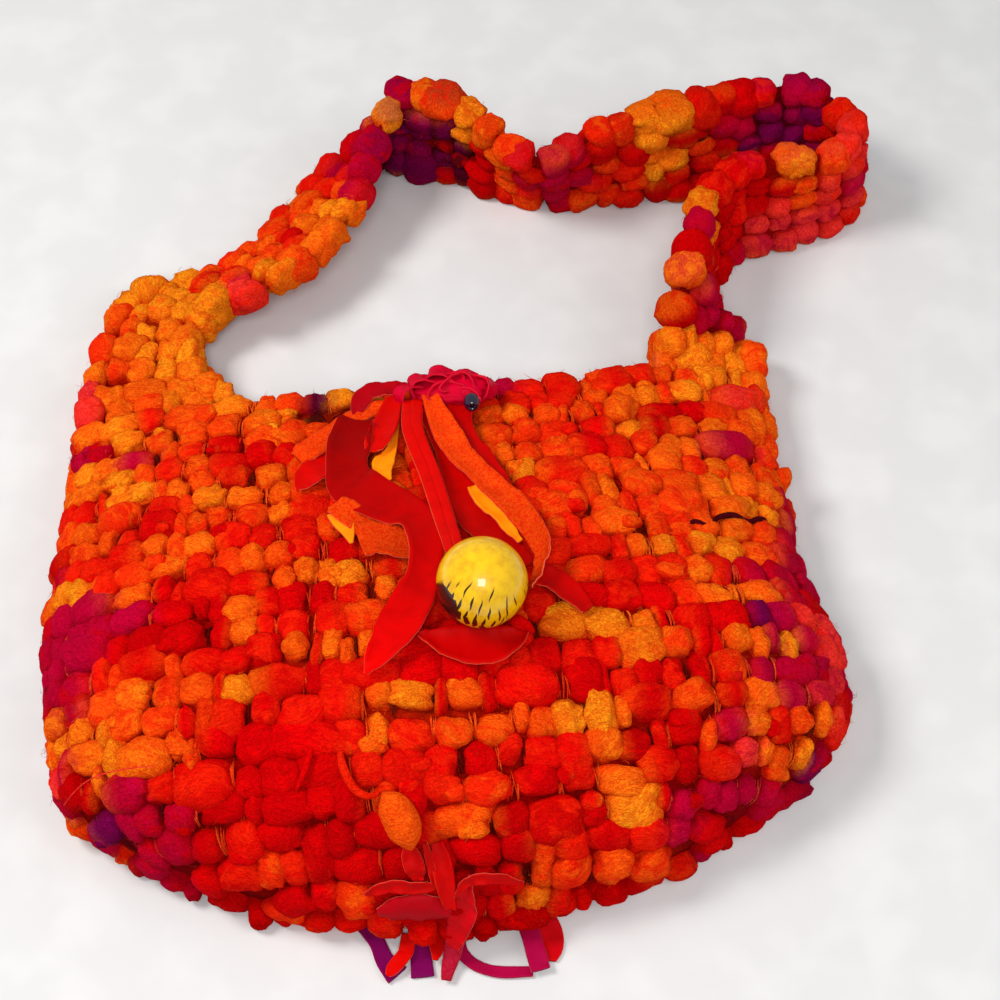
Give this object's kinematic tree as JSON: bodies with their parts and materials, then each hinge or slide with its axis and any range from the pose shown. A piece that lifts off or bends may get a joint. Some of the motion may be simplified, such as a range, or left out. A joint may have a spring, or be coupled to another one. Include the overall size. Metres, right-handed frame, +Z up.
{
  "type": "crochet purse",
  "caption": "Small shoulder purse worked in rows of thick felted yarn, with a broad strap and a knotted leather tie that carries a round ball button and loose strips.",
  "frame": {"origin": "on the surface that the purse lies on, under the middle of its body", "axes": "+Z up out of the purse's front, +Y from its bottom edge to its mouth, +X to the right"},
  "size_m": [0.3499, 0.3891, 0.095],
  "materials": {
    "body_yarn": "felted wool",
    "strap_yarn": "felted wool",
    "leather_red": "smooth, satin",
    "leather_suede": "suede",
    "leather_purple": "satin",
    "ball_glaze": "glossy",
    "dark_glass": "glossy"
  },
  "bodies": {
    "root": {"purse_body": "body_yarn", "shoulder_strap": "strap_yarn", "tie_knot": "leather_red", "button_thong": "leather_red", "strip_wide_left": "leather_red", "strip_wide_middle": "leather_red", "strip_behind": "leather_red", "strip_short_left": "leather_red", "strip_under_leaf": "leather_red", "flap_rim": "leather_red", "flap_under_ball": "leather_red", "strip_end_right": "leather_red", "hem_flap_left": "leather_red", "hem_flap_middle": "leather_red", "hem_flap_right": "leather_red", "hem_strip_over_edge": "leather_red", "strip_suede": "leather_suede", "strip_yellow": "leather_suede", "strip_sliver": "leather_suede", "strip_leaf": "leather_suede", "strip_folded": "leather_suede", "hem_strip_1": "leather_purple", "hem_strip_2": "leather_purple", "hem_strip_3": "leather_purple", "hem_strip_4": "leather_purple", "hem_strip_5": "leather_purple", "hem_strip_6": "leather_purple", "hem_strip_7": "leather_purple", "ball_button": "ball_glaze", "dark_bead": "dark_glass"}
  },
  "joints": []
}
